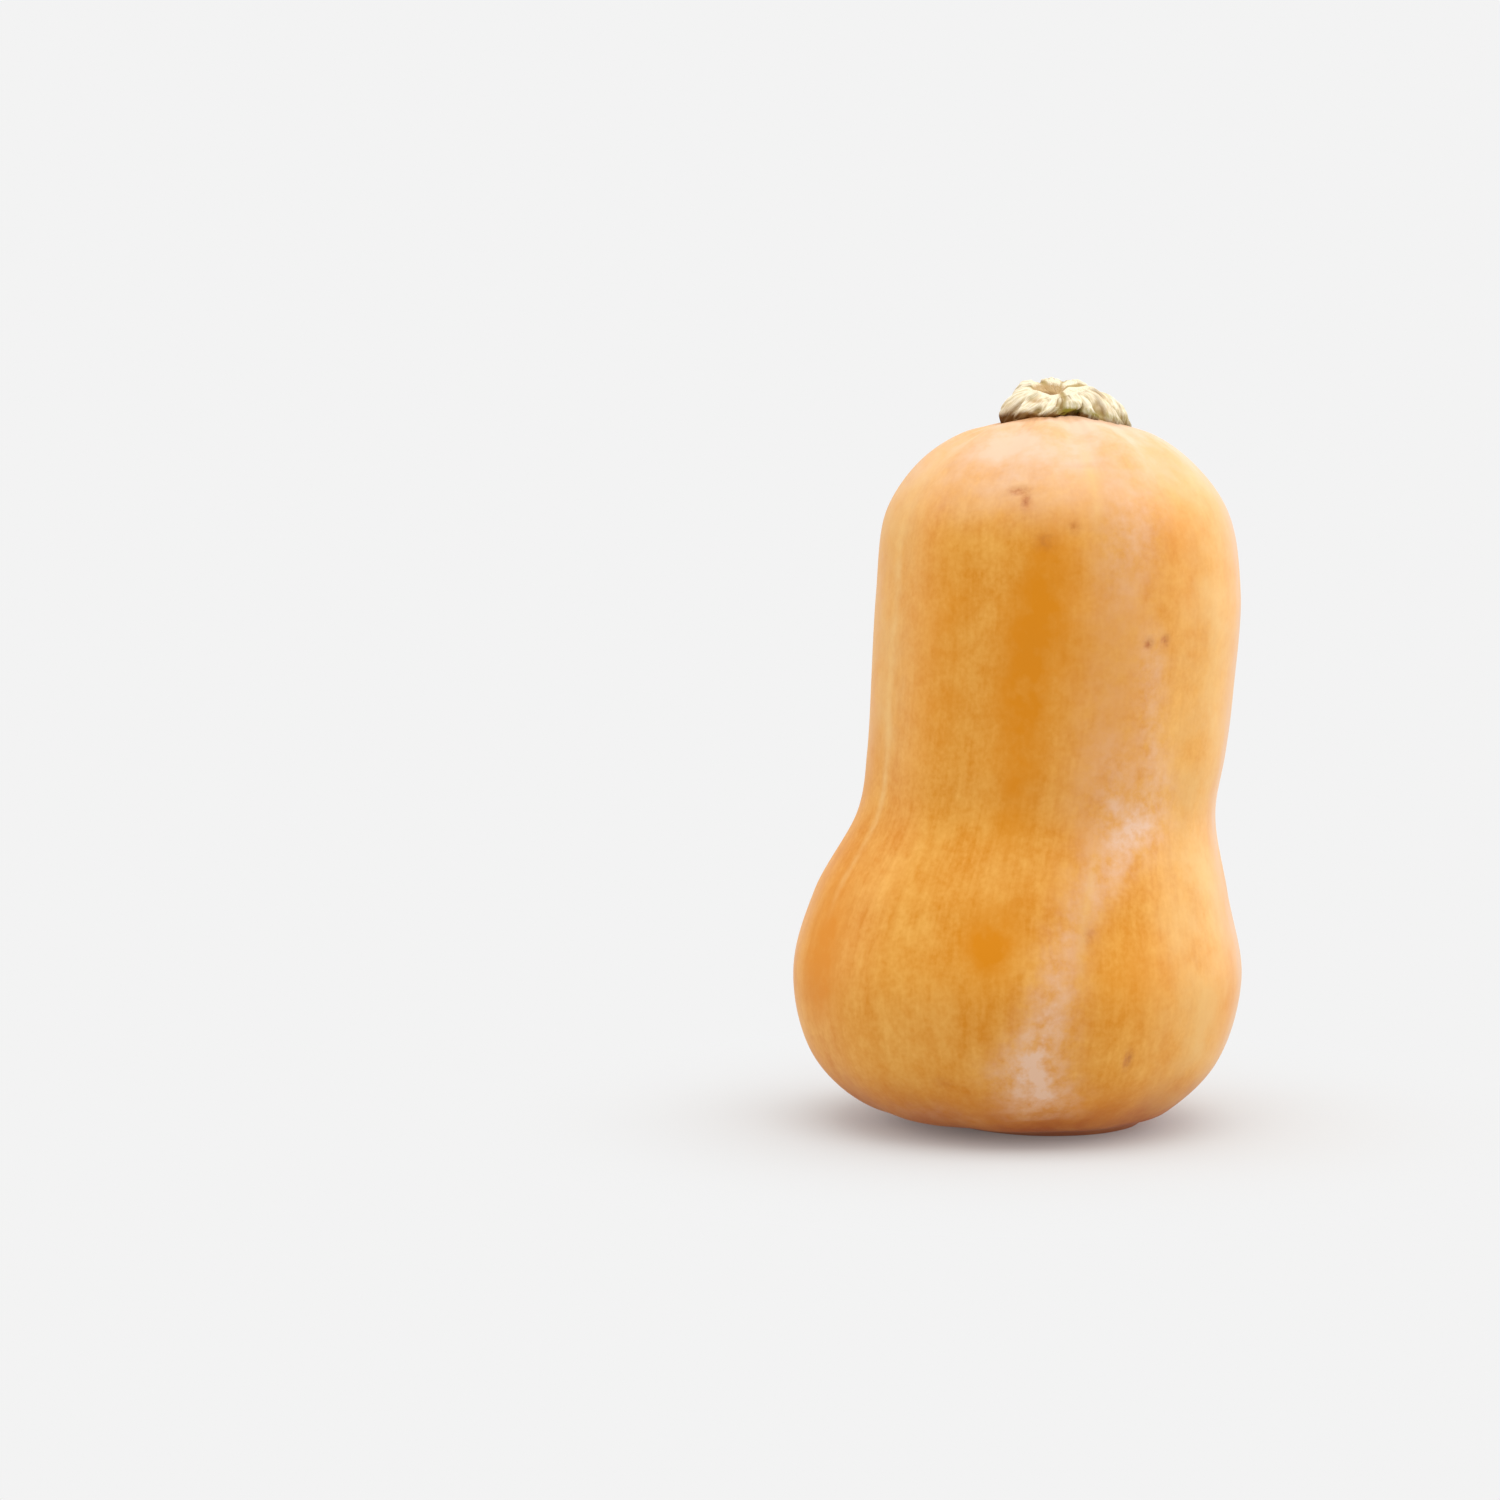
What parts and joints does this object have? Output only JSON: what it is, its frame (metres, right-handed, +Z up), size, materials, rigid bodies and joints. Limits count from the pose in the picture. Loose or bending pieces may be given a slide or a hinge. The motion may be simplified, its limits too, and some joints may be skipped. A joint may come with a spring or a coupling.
{
  "type": "butternut squash",
  "caption": "Butternut squash standing on its blossom end: a stout neck over a fuller bulb, low ribs, and a cut, ridged corky stem on top.",
  "frame": {"origin": "on the surface that the squash stands on, under the middle of its box", "axes": "+Z up from the blossom end to the stem, -Y towards the best side, +X to that side's right"},
  "size_m": [0.1168, 0.1136, 0.1929],
  "materials": {
    "rind": "satin waxy rind, tan orange with golden and paler streaks",
    "stem_cork": "dry corky stem, cream ridges and olive brown hollows"
  },
  "bodies": {
    "root": {"fruit": "rind", "stem": "stem_cork"}
  },
  "joints": []
}
